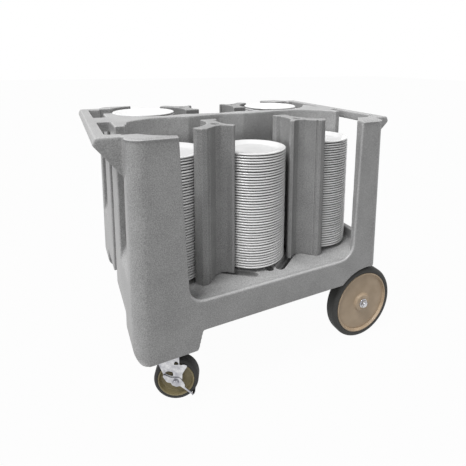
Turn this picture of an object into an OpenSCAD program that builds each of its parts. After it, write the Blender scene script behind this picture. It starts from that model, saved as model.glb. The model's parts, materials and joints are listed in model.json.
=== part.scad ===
// Plate dispenser cart, in millimetres. X runs along the cart from the caster end to the
// wheel end, Y across it with the near side at negative Y, and Z up from the floor.
// The origin is on the floor, under the middle of the overall box.

/* [Overall] */
// Height of the flush top edge above the floor
top_h = 780; // [720:1:860]
// Half width of the moulded body, middle to side face
half_w = 361; // [350:1:380]
// Distance of the caster-end wall's outer face from the origin
caster_wall_x = 416; // [410:1:420]
// Distance of the wheel-end wall's outer face from the origin
wheel_wall_x = 415; // [412:1:420]
// Radius of the upright corners seen from above
corner_r = 42; // [30:1:50]

/* [Deck and skirt] */
// Height of the deck that the plates stand on
deck_h = 308; // [300:1:320]
// Thickness of the hollow deck
deck_t = 60; // [50:1:70]
// Height of the small raised lip along both sides
lip_rise = 4; // [2:0.5:6]
// Width of the raised lip
lip_w = 16; // [8:1:20]
// Height of the skirt's lower edge
skirt_h = 224; // [215:1:235]
// Thickness of the side skirts
skirt_t = 25; // [20:1:30]
// Width of the towers' slots at the deck's face
slot_w = 28; // [24:1:32]
// Depth of that wide part of the slots
slot_d = 20; // [14:1:26]
// Width of the narrow part of the slots, which the clamp rods pass
slot_low_w = 14; // [12:1:18]

/* [End walls and posts] */
// Thickness of the caster-end wall
caster_wall_t = 30; // [26:1:32]
// Thickness of the wheel-end wall
wheel_wall_t = 20; // [16:1:20]
// Thickness of a post at its open edge
post_tip_t = 12; // [8:1:16]
// Distance from the side face to the outer side of the end windows
window_inset = 76; // [66:1:86]
// Distance from the middle to the inner side of the caster-end windows
caster_window_y = 150; // [140:1:160]
// Distance from the middle to the inner side of the wheel-end windows
wheel_window_y = 115; // [110:1:116]
// Height of the outer edge of the caster-end sills
sill_h = 375; // [360:1:400]
// Rise of those sills towards the inside
sill_rise = 55; // [20:1:70]
// Height of the wheel-end sills
wheel_sill_h = 345; // [330:1:370]
// Half width of the recess in the middle of the caster end
recess_half = 38; // [30:1:45]
// Depth of that recess
recess_d = 20; // [10:1:22]

/* [Handles] */
// Width of a handle bar
bar_w = 33; // [28:1:36]
// Height of a handle bar
bar_h = 30; // [24:1:34]
// Distance from the side face to the end of a handle
handle_inset = 53; // [46:1:60]
// Width of the cheek at each end of a handle
cheek_w = 40; // [30:1:45]
// Half width of the bridge in the middle of a handle
bridge_half = 51; // [45:1:60]
// Reach of the caster-end handle beyond its wall
caster_handle_out = 71; // [70:1:78]
// Reach of the wheel-end handle beyond its wall
wheel_handle_out = 60; // [55:1:64]

/* [Towers] */
// Height of the top of the towers
tower_h = 772; // [760:1:776]
// Greatest width of a tower across its lobes
tower_w = 180; // [176:1:180]
// Radius of the clamp rods
rod_r = 5; // [4:0.5:6]
// Radius of the clamp knobs
knob_r = 27; // [22:1:30]

/* [Plates] */
// Radius of a plate
plate_r = 112; // [100:1:112]
// Step from one plate to the next in a stack
plate_step = 8.5; // [7.5:0.1:10]
// Height of a plate from foot to rim
plate_h = 18; // [16:1:20]

/* [Rear wheels] */
// Radius of a rear wheel
wheel_r = 127; // [120:1:130]
// Width of a rear tyre
tyre_w = 46; // [40:1:48]
// Radius where the tyre sits on the core
core_r = 108; // [100:1:112]
// Radius of the axle
axle_r = 8; // [7:0.5:10]

/* [Casters] */
// Radius of a caster wheel
caster_r = 63.5; // [60:0.5:65]
// Width of a caster wheel
caster_w = 32; // [28:1:34]
// Distance of the caster wheel behind its swivel
trail = 33; // [28:1:36]
// Turn of the casters about their swivels, in degrees
caster_turn = -24; // [-30:1:30]
// Height of the top of the caster plates
caster_top = 168; // [164:1:172]
// Height of the underside of the caster feet
foot_h = 166; // [160:1:170]

/* [Hidden] */

// Smoothness of the true curves
$fn = 64;
// Steps along each rounded stretch of the moulded outlines
arc_steps = 8;

// Colours as the photograph shows them
body_grey = "#8a8a8a";
tower_grey = "#777777";
rubber = "#3b3b39";
tan_plastic = "#8f8272";
olive_plastic = "#857a63";
bright_zinc = "#c9c9cc";
black_knob = "#2b2b2b";
plate_white = "#f2f2f0";

// Gap between pieces of different bodies
gap = 0.3;
// Running fit round a shaft
run_fit = 0.06;
// Overrun of the cuts
over = 5;
// Whole turn, and the angles where the round foot of a hanging web starts and ends
full_turn = 360;
web_from = 200;
web_to = 340;

// Place along the cart and in from the side face, on the near or the far side
function near_place(p) = [p[0], p[1] - half_w];
function far_place(p) = [p[0], half_w - p[1]];

caster_wall_in = -caster_wall_x + caster_wall_t;
wheel_wall_in = wheel_wall_x - wheel_wall_t;
caster_end_reach = caster_wall_x + caster_handle_out;
wheel_end_reach = wheel_wall_x + wheel_handle_out;
window_out_y = half_w - window_inset;
handle_half = half_w - handle_inset;
deck_under = deck_h - deck_t;
skirt_in = half_w - skirt_t;
lip_h = deck_h + lip_rise;

// Bays round the stacks: the posts and the spine follow circles about these centres,
// each given along the cart and in from the side face
left_post_in = [-236, 175];
left_post_c = near_place(left_post_in);
left_post_r = 172;
right_post_in = [204, 171];
right_post_c = near_place(right_post_in);
right_post_r = 178;
left_bay_in = [-236, 165];
left_bay_c = near_place(left_bay_in);
left_bay_r = 179;
right_bay_in = [228, 169];
right_bay_c = near_place(right_bay_in);
right_bay_r = 184;

// Side openings: the edges lean outwards towards the top, with round lower corners
open_left_top = -291;
open_left_low = -271;
open_left_r = 48;
open_right_top = 314;
open_right_low = 301;
open_right_r = 55;

// Ridges and valleys of the spine's faces, as distances along X and half widths
ridge_l = [-164, -32];
valley_m = [-43, -13];
ridge_m = [44, -28];
valley_r = [160, -21];
flare_l = [-378, -118];
flare_l_half = 120;

// Lower edges
caster_wall_low = 245;
wheel_wall_low = 224;

// Handle cheeks, as drops below the top edge
bar_nose = 12;
bar_lip_drop = 19;
cheek_drop = 108;
cheek_knee_in = 17;
cheek_knee_drop = 40;
wheel_cheek_drop = 74;

// Feet under the caster end
foot_in = 146;
foot_in_y = half_w - foot_in;
foot_right_x = -243;
foot_lean = 12;
foot_r = 42;
foot_heel_r = 10;
pocket_gap = 4;

// Towers: place of a tower's rod in the near left bay, mirrored for the others
rod_in = [-138, 148];
tower_rod = near_place(rod_in);
tower_mid_x = 8;
slot_dir = [0.786, -0.618];
slot_back = 40;
slot_front = 125;
far_slide = 42;
rod_head_r = 9;
rod_head_h = 8;
rod_well_d = 20;
rod_well_gap = 5;
rod_below = 24;
washer_r = 20;
washer_t = 3;
knob_t = 18;
knob_lobes = 5;
knob_hollow = 7;
knob_steps = 60;
middle_slot_x = 20;
middle_slot_out_in = 65;
middle_slot_in_in = 161;
middle_slot_w = 24;

// Outline of the near left tower about its rod, as shares of the tower's width:
// the back lobe, the groove beside it, the inner lobe, the hollow front and the outer lobe
back_lobe_shares = [[-0.078, 0.517], [0.222, 0.517]];
groove_shares = [[0.200, 0.428], [0.106, 0.378], [0.146, 0.333]];
inner_lobe_shares = [[0.265, -0.170], [0.272, -0.233], [0.222, -0.267]];
front_hollow_shares = [
    [0.144, -0.189], [0.044, -0.150], [-0.067, -0.189], [-0.160, -0.278], [-0.222, -0.344]];
outer_lobe_shares = [[-0.283, -0.395], [-0.367, -0.389], [-0.428, -0.322], [-0.456, -0.244]];
// Bays that the tower's two long hollows follow, about its rod, and their radii
west_bay_share = [-0.7112, 0.3556];
west_bay_r_share = 0.650;
east_bay_share = [0.7889, 0.1833];
east_bay_r_share = 0.6611;

// Stacks: place along the cart and in from the side face, and number of plates
near_left_in = [-266, 212];
near_middle_in = [4, 181];
near_right_in = [282, 208];
far_left_in = [-270, 175];
far_right_in = [268, 183];
near_left_count = 45;
near_middle_count = 44;
near_right_count = 45;
far_count = 54;
// Plate profile as shares of its radius and of its height
foot_out_share = 0.66;
foot_in_share = 0.60;
well_share = 0.68;
rim_share = 0.985;
foot_t = 3;
plate_base_t = 5.2;
plate_rim_t = 6;
plate_slope_t = 7.2;

// Rear axle and wheels
wheel_x = 360;
wheel_in = 33;
wheel_y = half_w - wheel_in;
arch_r = 138;
arch_d = 62;
axle_out = 5.5;
axle_half = half_w + axle_out;
hub_half = 25;
hub_r = 25;
hub_gap = 0.4;
bush_r = 12;
rim_half = 22;
rim_t = 7;
web_out = 16;
web_in = 4;
tyre_side_r = 113;
tyre_crown_half = 17;
tyre_shoulder_r = 122;
axle_washer_r = 15;
axle_washer_t = 2.5;
axle_nut_r = 13;
axle_nut_t = 8;
bracket_in = 91;
bracket_y = half_w - bracket_in;
bracket_t = 6;
bracket_flange = 46;
bracket_len = 120;
bracket_foot_r = 24;
bracket_bolt_in = 40;
spacer_r = 13;
bolt_r = 4;
bolt_head_r = 7.5;
bolt_head_t = 5;
bolt_len = 12;

// Casters: place of the near swivel, mirrored for the far one
swivel_in = [-324, 73];
swivel_place = near_place(swivel_in);
plate_half_x = 50;
plate_half_y = 42;
plate_t = 6;
plate_bolt_in = 12;
race_r = 31;
race_t = 8;
race_gap = 0.3;
crown_h = 141;
crown_t = 4;
crown_r = 38;
lower_race_r = 29;
kingpin_r = 8;
kingpin_head_r = 14;
kingpin_head_t = 4;
leg_t = 3.5;
leg_in = 19;
leg_top_half = 40;
leg_foot_r = 15;
caster_axle_r = 5;
caster_bolt_head_r = 9;
caster_bolt_head_t = 5;
caster_core_r = 49;
caster_hub_r = 15;
caster_hub_half = 18.4;
caster_web_half = 5;
caster_rim_t = 5;
bearing_r = 9;
pedal_t = 3;
pedal_gap = 0.4;
pedal_arm_half = 11;
pedal_tip_half = 4;
pedal_drop = -40;
pedal_reach = 71;
pedal_pad_w = 16;
pedal_pad_t = 4;

// Outline helpers
function arc(c, r, a0, a1, n = arc_steps) =
    [for (i = [0 : n]) c + r * [cos(a0 + (a1 - a0) * i / n), sin(a0 + (a1 - a0) * i / n)]];
function turn_of(c, p) = atan2(p[1] - c[1], p[0] - c[0]);
function flip_y(p) = [for (i = [len(p) - 1 : -1 : 0]) [p[i][0], -p[i][1]]];

// Where a circle crosses a line across or along the cart
function west_x(c, r, y) = c[0] - sqrt(r * r - (y - c[1]) * (y - c[1]));
function east_x(c, r, y) = c[0] + sqrt(r * r - (y - c[1]) * (y - c[1]));
function north_y(c, r, x) = c[1] + sqrt(r * r - (x - c[0]) * (x - c[0]));
function south_y(c, r, x) = c[1] - sqrt(r * r - (x - c[0]) * (x - c[0]));

// Prism from an outline seen from above
module upright(points, z0, z1) {
    translate([0, 0, z0]) linear_extrude(z1 - z0) polygon(points);
}

// Prism from an outline in X and Z, between two places across the cart
module across(points, y0, y1) {
    translate([0, y1, 0]) rotate([90, 0, 0]) linear_extrude(y1 - y0) polygon(points);
}

// Prism from an outline in Y and Z, between two places along the cart
module along(points, x0, x1) {
    translate([x0, 0, 0]) rotate([90, 0, 90]) linear_extrude(x1 - x0) polygon(points);
}

// Block between two opposite corners
module block(a, b) {
    translate(a) cube(b - a);
}

// Ring or shaft across the cart, centred on a place along and above it
module drum(x, z, y0, y1, r) {
    translate([x, y1, z]) rotate([90, 0, 0]) cylinder(h = y1 - y0, r = r);
}

// Near left post seen from above: the body's corner outside, the bay's circle inside
left_tip_x = open_left_low;
left_post = concat(
    [[-caster_wall_x, -window_out_y]],
    arc([-caster_wall_x + corner_r, -half_w + corner_r], corner_r, 180, 270),
    [[left_tip_x, -half_w], [left_tip_x, -half_w + post_tip_t]],
    arc(left_post_c, left_post_r,
        turn_of(left_post_c, [left_post_c[0] - sqrt(left_post_r * left_post_r
            - (half_w - post_tip_t + left_post_c[1]) * (half_w - post_tip_t + left_post_c[1])),
            -half_w + post_tip_t]),
        turn_of(left_post_c, [west_x(left_post_c, left_post_r, -window_out_y), -window_out_y]) ));

// Near right post seen from above
right_tip_x = open_right_low;
right_post = concat(
    [[right_tip_x, -half_w]],
    arc([wheel_wall_x - corner_r, -half_w + corner_r], corner_r, -90, 0),
    [[wheel_wall_x, -window_out_y]],
    arc(right_post_c, right_post_r,
        turn_of(right_post_c, [east_x(right_post_c, right_post_r, -window_out_y), -window_out_y]),
        turn_of(right_post_c, [right_tip_x, south_y(right_post_c, right_post_r, right_tip_x)]) ));

// Opening between the posts, seen from the side
side_opening = concat(
    [[open_right_top, top_h + over], [open_left_top, top_h + over]],
    arc([open_left_low + open_left_r, lip_h + open_left_r], open_left_r, 180, 270),
    arc([open_right_low - open_right_r, lip_h + open_right_r], open_right_r, 270, 360));

// Cut for the round arch over a rear wheel, on the near side
module wheel_arch() {
    drum(wheel_x, wheel_r, -half_w - over, -half_w + arch_d, arch_r);
}

module near_post(outline) {
    difference() {
        upright(outline, skirt_h, top_h);
        across(side_opening, -half_w - over, -half_w + skirt_t + over);
        wheel_arch();
    }
}

module near_skirt() {
    difference() {
        union() {
            block([left_tip_x, -half_w, skirt_h], [right_tip_x, -skirt_in, deck_h]);
            block([left_tip_x, -half_w, deck_h], [right_tip_x, -half_w + lip_w, lip_h]);
            difference() {
                block([left_tip_x, -half_w, lip_h],
                    [right_tip_x, -half_w + post_tip_t, lip_h + open_right_r]);
                across(side_opening, -half_w - over, -half_w + skirt_t);
            }
        }
        upright(right_post, skirt_h - over, top_h);
        wheel_arch();
    }
}

module near_side_skirt() { color(body_grey) near_skirt(); }
module far_side_skirt() { color(body_grey) mirror([0, 1, 0]) near_skirt(); }
module near_left_post() { color(body_grey) near_post(left_post); }
module far_left_post() { color(body_grey) mirror([0, 1, 0]) near_post(left_post); }
module near_right_post() { color(body_grey) near_post(right_post); }
module far_right_post() { color(body_grey) mirror([0, 1, 0]) near_post(right_post); }

// Round-ended slot down into the deck, from one place to another
module slot(a, b, w, low) {
    d = b - a;
    turn = atan2(d[1], d[0]);
    depth = deck_h - low + over;
    translate([a[0], a[1], low]) rotate([0, 0, turn]) {
        cylinder(h = depth, r = w / 2);
        translate([0, -w / 2, 0]) cube([norm(d), w, depth]);
        translate([norm(d), 0, 0]) cylinder(h = depth, r = w / 2);
    }
}

// Slot of the near left tower: wide at the deck's face, narrow below
module tower_slot() {
    slot_from = tower_rod - slot_back * slot_dir;
    slot_to = tower_rod + slot_front * slot_dir;
    slot(slot_from, slot_to, slot_w, deck_h - slot_d);
    slot(slot_from, slot_to, slot_low_w, deck_under - over);
}

module near_slots() {
    tower_slot();
    translate([2 * tower_mid_x, 0, 0]) mirror([1, 0, 0]) tower_slot();
    slot([middle_slot_x, middle_slot_out_in - half_w + middle_slot_w / 2],
        [middle_slot_x, middle_slot_in_in - half_w - middle_slot_w / 2],
        middle_slot_w, deck_under - over);
}

module deck() {
    color(body_grey) difference() {
        block([caster_wall_in, -skirt_in, deck_under], [wheel_wall_in, skirt_in, deck_h]);
        for (side = [0, 1]) mirror([0, side, 0]) {
            upright(left_post, skirt_h, top_h);
            upright(right_post, skirt_h, top_h);
            near_slots();
            wheel_arch();
            bracket_bolt_places()
                translate([0, 0, deck_under - over]) cylinder(h = bolt_len + over, r = bolt_r);
        }
    }
}

// Caster-end wall: two windows with sills that rise inwards, and a recess in the middle
caster_sill = [
    [-caster_wall_x - over, sill_h - over * sill_rise / caster_wall_t],
    [caster_wall_in + over, sill_h + sill_rise + over * sill_rise / caster_wall_t],
    [caster_wall_in + over, top_h + over],
    [-caster_wall_x - over, top_h + over]];

module caster_end_wall() {
    color(body_grey) difference() {
        union() {
            block([-caster_wall_x, -window_out_y, caster_wall_low], [caster_wall_in, window_out_y, top_h]);
            both_sides()
                block([-caster_wall_x, -window_out_y, skirt_h], [caster_wall_in, -foot_in_y, caster_wall_low]);
        }
        for (side = [0, 1]) mirror([0, side, 0])
            across(caster_sill, caster_window_y, window_out_y + over);
        block([-caster_wall_x - over, -recess_half, caster_wall_low - over],
            [-caster_wall_x + recess_d, recess_half, top_h - bar_h]);
    }
}

// Wheel-end wall: two windows with rounded lower corners
wheel_window = concat(
    [[window_out_y + over, top_h + over], [wheel_window_y, top_h + over]],
    arc([wheel_window_y + corner_r, wheel_sill_h + corner_r], corner_r, 180, 270),
    [[window_out_y - corner_r, wheel_sill_h]],
    arc([window_out_y - corner_r, wheel_sill_h + corner_r], corner_r, 270, 360),
    [[window_out_y + over, wheel_sill_h + corner_r]]);

module wheel_end_wall() {
    color(body_grey) difference() {
        block([wheel_wall_in, -window_out_y, wheel_wall_low], [wheel_wall_x, window_out_y, top_h]);
        for (side = [0, 1]) mirror([0, side, 0])
            along(wheel_window, wheel_wall_in - over, wheel_wall_x + over);
    }
}

// Centre spine: bay circles at both ends, shallow facets between them
spine_start_x = flare_l[0] + over;
near_spine = concat(
    [[caster_wall_in, -flare_l_half], flare_l],
    arc(left_bay_c, left_bay_r,
        turn_of(left_bay_c, [spine_start_x, north_y(left_bay_c, left_bay_r, spine_start_x)]),
        turn_of(left_bay_c, ridge_l), 2 * arc_steps),
    [valley_m, ridge_m],
    arc(right_bay_c, right_bay_r,
        turn_of(right_bay_c, valley_r),
        turn_of(right_bay_c, [wheel_wall_in, north_y(right_bay_c, right_bay_r, wheel_wall_in)]),
        2 * arc_steps));

module centre_spine() {
    color(body_grey) upright(concat(near_spine, flip_y(near_spine)), deck_h, top_h);
}

// Handles: a bar, a bridge in the middle and a cheek at each end
caster_bar = [
    [-caster_end_reach + bar_nose / 2, top_h],
    [-caster_end_reach, top_h - bar_nose],
    [-caster_end_reach, top_h - bar_lip_drop],
    [-caster_end_reach + bar_nose, top_h - bar_h],
    [-caster_end_reach + bar_w, top_h - bar_h],
    [-caster_end_reach + bar_w, top_h]];
caster_cheek = [
    [-caster_end_reach + bar_nose, top_h],
    [-caster_end_reach, top_h - bar_nose],
    [-caster_end_reach, top_h - bar_lip_drop],
    [-caster_end_reach + cheek_knee_in, top_h - cheek_knee_drop],
    [-caster_wall_x, top_h - cheek_drop],
    [-caster_wall_x, top_h]];

module caster_end_handle() {
    color(body_grey) union() {
        across(caster_bar, -handle_half, handle_half);
        across(caster_cheek, -handle_half, -handle_half + cheek_w);
        across(caster_cheek, handle_half - cheek_w, handle_half);
        block([-caster_end_reach + bar_w / 2, -bridge_half, top_h - bar_h],
            [-caster_wall_x, bridge_half, top_h]);
    }
}

wheel_bar = [
    [wheel_end_reach - bar_nose / 2, top_h],
    [wheel_end_reach - bar_w, top_h],
    [wheel_end_reach - bar_w, top_h - bar_h],
    [wheel_end_reach - bar_nose, top_h - bar_h],
    [wheel_end_reach, top_h - bar_lip_drop],
    [wheel_end_reach, top_h - bar_nose]];
wheel_cheek = [
    [wheel_end_reach - bar_nose, top_h],
    [wheel_wall_x, top_h],
    [wheel_wall_x, top_h - wheel_cheek_drop],
    [wheel_end_reach - bar_nose, top_h - bar_h],
    [wheel_end_reach, top_h - bar_lip_drop],
    [wheel_end_reach, top_h - bar_nose]];

module wheel_end_handle() {
    color(body_grey) union() {
        across(wheel_bar, -handle_half, handle_half);
        across(wheel_cheek, -handle_half, -handle_half + cheek_w);
        across(wheel_cheek, handle_half - cheek_w, handle_half);
        block([wheel_wall_x, -bridge_half, top_h - bar_h],
            [wheel_end_reach - bar_w / 2, bridge_half, top_h]);
    }
}

// Feet that carry the casters: the post's corner carried down, with a pocket for the plate
foot_outline = concat(
    [[-caster_wall_x, skirt_h]],
    arc([-caster_wall_x + foot_r, foot_h + foot_r], foot_r, 180, 270),
    arc([foot_right_x - foot_heel_r, foot_h + foot_heel_r], foot_heel_r, 270, 360, 3),
    [[foot_right_x + foot_lean, skirt_h]]);
foot_plan = concat(
    [[-caster_wall_x, -foot_in_y]],
    arc([-caster_wall_x + corner_r, -half_w + corner_r], corner_r, 180, 270),
    [[foot_right_x + foot_lean, -half_w], [foot_right_x + foot_lean, -foot_in_y]]);

module swivel_frame() {
    translate([swivel_place[0], swivel_place[1], 0]) children();
}

module near_foot() {
    difference() {
        union() {
            intersection() {
                across(foot_outline, -half_w, -foot_in_y);
                upright(foot_plan, foot_h, skirt_h);
            }
            block([caster_wall_in, -skirt_in, skirt_h], [foot_right_x + foot_lean, -foot_in_y, deck_under]);
        }
        upright(left_post, skirt_h, top_h);
        swivel_frame()
            block([-plate_half_x - pocket_gap, -plate_half_y - pocket_gap, foot_h - over],
                [plate_half_x + pocket_gap, plate_half_y + pocket_gap, caster_top]);
        swivel_frame() plate_corners() translate([0, 0, caster_top - over])
            cylinder(h = bolt_len + over, r = bolt_r);
    }
}

module near_caster_foot() { color(body_grey) near_foot(); }
module far_caster_foot() { color(body_grey) mirror([0, 1, 0]) near_foot(); }

// Rear axle with its two brackets under the deck
bracket_web = concat(
    [[wheel_x - bracket_len / 2, deck_under]],
    arc([wheel_x, wheel_r], bracket_foot_r, web_from, web_to),
    [[wheel_wall_in, deck_under]]);

module bracket_bolt_places() {
    for (step = [-1, 0])
        translate([wheel_x + step * bracket_bolt_in, -bracket_y + bracket_flange / 2, 0]) children();
}

module near_bracket() {
    difference() {
        union() {
            across(bracket_web, -bracket_y - bracket_t, -bracket_y);
            block([wheel_x - bracket_len / 2, -bracket_y, deck_under - bracket_t],
                [wheel_wall_in, -bracket_y + bracket_flange, deck_under]);
        }
        drum(wheel_x, wheel_r, -bracket_y - bracket_t - over, -bracket_y + over, axle_r + run_fit);
        bracket_bolt_places() translate([0, 0, deck_under - bracket_t - over])
            cylinder(h = bracket_t + 2 * over, r = bolt_r + run_fit);
    }
}

module near_bracket_bolts() {
    bracket_bolt_places() translate([0, 0, deck_under - bracket_t]) {
        cylinder(h = bracket_t + bolt_len, r = bolt_r);
        translate([0, 0, -bolt_head_t]) cylinder(h = bolt_head_t, r = bolt_head_r, $fn = 6);
    }
}

module both_sides() {
    children();
    mirror([0, 1, 0]) children();
}

module axle_brackets() { color(bright_zinc) both_sides() near_bracket(); }
module bracket_bolts() { color(bright_zinc) both_sides() near_bracket_bolts(); }
module rear_axle() { color(bright_zinc) drum(wheel_x, wheel_r, -axle_half, axle_half, axle_r); }

module axle_spacers() {
    color(bright_zinc) both_sides() difference() {
        drum(wheel_x, wheel_r, -wheel_y + hub_half + hub_gap, -bracket_y - bracket_t, spacer_r);
        drum(wheel_x, wheel_r, -wheel_y, -bracket_y, axle_r + run_fit);
    }
}

washer_y = wheel_y + hub_half + hub_gap;
module axle_nuts() {
    color(bright_zinc) both_sides() {
        difference() {
            drum(wheel_x, wheel_r, -washer_y - axle_washer_t, -washer_y, axle_washer_r);
            drum(wheel_x, wheel_r, -washer_y - axle_washer_t - over, -washer_y + over, axle_r + run_fit);
        }
        difference() {
            translate([wheel_x, -washer_y - axle_washer_t, wheel_r]) rotate([90, 0, 0])
                cylinder(h = axle_nut_t, r = axle_nut_r, $fn = 6);
            drum(wheel_x, wheel_r, -washer_y - axle_nut_t - axle_washer_t - over, -washer_y,
                axle_r + run_fit);
        }
    }
}

// Piece of a wheel turned about an axle across the cart, from an outline of radius and offset
module turned(x, y, z, points) {
    translate([x, y, z]) rotate([90, 0, 0]) rotate_extrude() polygon(points);
}

tyre_ring = [
    [core_r, -rim_half], [tyre_side_r, -tyre_w / 2], [tyre_shoulder_r, -tyre_w / 2 + web_in / 2],
    [wheel_r, -tyre_crown_half], [wheel_r, tyre_crown_half],
    [tyre_shoulder_r, tyre_w / 2 - web_in / 2], [tyre_side_r, tyre_w / 2], [core_r, rim_half]];
core_ring = [
    [bush_r, -hub_half], [hub_r, -hub_half], [hub_r, web_in], [core_r - rim_t, web_in],
    [core_r - rim_t, -rim_half], [core_r, -rim_half], [core_r, rim_half], [core_r - rim_t, rim_half],
    [core_r - rim_t, web_out], [hub_r, web_out], [hub_r, hub_half], [bush_r, hub_half]];
bush_ring = [
    [axle_r + run_fit, -hub_half], [bush_r, -hub_half], [bush_r, hub_half], [axle_r + run_fit, hub_half]];

module near_wheel_tyre() { color(rubber) turned(wheel_x, -wheel_y, wheel_r, tyre_ring); }
module near_wheel_core() { color(tan_plastic) turned(wheel_x, -wheel_y, wheel_r, core_ring); }
module near_wheel_bush() { color(plate_white) turned(wheel_x, -wheel_y, wheel_r, bush_ring); }
module far_wheel_tyre() { color(rubber) mirror([0, 1, 0]) turned(wheel_x, -wheel_y, wheel_r, tyre_ring); }
module far_wheel_core() { color(tan_plastic) mirror([0, 1, 0]) turned(wheel_x, -wheel_y, wheel_r, core_ring); }
module far_wheel_bush() { color(plate_white) mirror([0, 1, 0]) turned(wheel_x, -wheel_y, wheel_r, bush_ring); }

// Caster, about its swivel and with the trail along X, then turned and placed
module caster_at(side) {
    translate([swivel_place[0], side * -swivel_place[1], 0]) rotate([0, 0, caster_turn]) children();
}
module plate_at(side) {
    translate([swivel_place[0], side * -swivel_place[1], 0]) children();
}
module plate_corners() {
    for (sx = [-1, 1], sy = [-1, 1])
        translate([sx * (plate_half_x - plate_bolt_in), sy * (plate_half_y - plate_bolt_in), 0]) children();
}

plate_low = caster_top - plate_t;
race_low = plate_low - race_t;
crown_top = crown_h + crown_t;

module caster_plates() {
    color(bright_zinc) for (side = [-1, 1]) plate_at(side) difference() {
        block([-plate_half_x, -plate_half_y, plate_low], [plate_half_x, plate_half_y, caster_top]);
        translate([0, 0, plate_low - over]) cylinder(h = plate_t + 2 * over, r = kingpin_r);
        plate_corners() translate([0, 0, plate_low - over])
            cylinder(h = plate_t + 2 * over, r = bolt_r + run_fit);
    }
}

module caster_races() {
    color(bright_zinc) for (side = [-1, 1]) plate_at(side) difference() {
        translate([0, 0, race_low]) cylinder(h = race_t, r = race_r);
        translate([0, 0, race_low - over]) cylinder(h = race_t + 2 * over, r = kingpin_r);
    }
}

module caster_kingpins() {
    color(bright_zinc) for (side = [-1, 1]) plate_at(side) {
        translate([0, 0, crown_h - race_gap]) cylinder(h = caster_top - crown_h + race_gap, r = kingpin_r);
        translate([0, 0, crown_h - race_gap - kingpin_head_t])
            cylinder(h = kingpin_head_t, r = kingpin_head_r);
    }
}

module caster_plate_bolts() {
    color(bright_zinc) for (side = [-1, 1]) plate_at(side) plate_corners() {
        translate([0, 0, plate_low]) cylinder(h = plate_t + bolt_len, r = bolt_r);
        translate([0, 0, plate_low - bolt_head_t]) cylinder(h = bolt_head_t, r = bolt_head_r, $fn = 6);
    }
}

fork_leg = concat(
    [[trail - leg_top_half, crown_h]],
    arc([trail, caster_r], leg_foot_r, web_from, web_to),
    [[trail + leg_top_half, crown_h]]);

module caster_fork(side) {
    caster_at(side) difference() {
        union() {
            translate([0, 0, crown_h]) cylinder(h = crown_t, r = crown_r);
            block([trail - leg_top_half, -leg_in - leg_t, crown_h],
                [trail + leg_top_half, leg_in + leg_t, crown_top]);
            translate([0, 0, crown_top]) cylinder(h = race_low - race_gap - crown_top, r = lower_race_r);
            across(fork_leg, -leg_in - leg_t, -leg_in);
            across(fork_leg, leg_in, leg_in + leg_t);
        }
        translate([0, 0, crown_h - over])
            cylinder(h = race_low - crown_h + 2 * over, r = kingpin_r + run_fit);
        drum(trail, caster_r, -leg_in - leg_t - over, leg_in + leg_t + over, caster_axle_r);
    }
}

module caster_axle(side) {
    bolt_half = leg_in + leg_t + pedal_gap + pedal_t + pedal_gap;
    caster_at(side) {
        drum(trail, caster_r, -bolt_half, bolt_half, caster_axle_r);
        translate([trail, -bolt_half, caster_r]) rotate([90, 0, 0])
            cylinder(h = caster_bolt_head_t, r = caster_bolt_head_r, $fn = 6);
        translate([trail, bolt_half + caster_bolt_head_t, caster_r]) rotate([90, 0, 0])
            cylinder(h = caster_bolt_head_t, r = caster_bolt_head_r, $fn = 6);
    }
}

caster_tyre_ring = [
    [caster_core_r, -caster_w / 2], [caster_r - caster_rim_t / 2, -caster_w / 2],
    [caster_r, -caster_w / 2 + caster_rim_t], [caster_r, caster_w / 2 - caster_rim_t],
    [caster_r - caster_rim_t / 2, caster_w / 2], [caster_core_r, caster_w / 2]];
caster_core_ring = [
    [bearing_r, -caster_hub_half], [caster_hub_r, -caster_hub_half], [caster_hub_r, -caster_web_half],
    [caster_core_r - caster_rim_t, -caster_web_half], [caster_core_r - caster_rim_t, -caster_w / 2],
    [caster_core_r, -caster_w / 2], [caster_core_r, caster_w / 2],
    [caster_core_r - caster_rim_t, caster_w / 2], [caster_core_r - caster_rim_t, caster_web_half],
    [caster_hub_r, caster_web_half], [caster_hub_r, caster_hub_half], [bearing_r, caster_hub_half]];
caster_bearing_ring = [
    [caster_axle_r + run_fit, -caster_hub_half], [bearing_r, -caster_hub_half],
    [bearing_r, caster_hub_half], [caster_axle_r + run_fit, caster_hub_half]];

// Brake pedal: an arm on each side of the fork, turning on the axle, and a pad across the tyre
pedal_arm_out = leg_in + leg_t + pedal_gap + pedal_t;
pedal_arm = [
    [0, -pedal_arm_half], [pedal_reach, -pedal_tip_half],
    [pedal_reach, pedal_tip_half], [0, pedal_arm_half]];
module brake_pedal(side) {
    caster_at(side) translate([trail, 0, caster_r]) rotate([0, -pedal_drop, 0]) difference() {
        union() {
            for (y0 = [-pedal_arm_out, pedal_arm_out - pedal_t]) {
                translate([0, y0 + pedal_t, 0]) rotate([90, 0, 0]) cylinder(h = pedal_t, r = pedal_arm_half);
                across(pedal_arm, y0, y0 + pedal_t);
            }
            block([pedal_reach - pedal_pad_t, -pedal_arm_out, -pedal_pad_w / 2],
                [pedal_reach, pedal_arm_out, pedal_pad_w / 2]);
        }
        translate([0, pedal_arm_out + over, 0]) rotate([90, 0, 0])
            cylinder(h = 2 * (pedal_arm_out + over), r = caster_axle_r + run_fit);
    }
}

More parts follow.
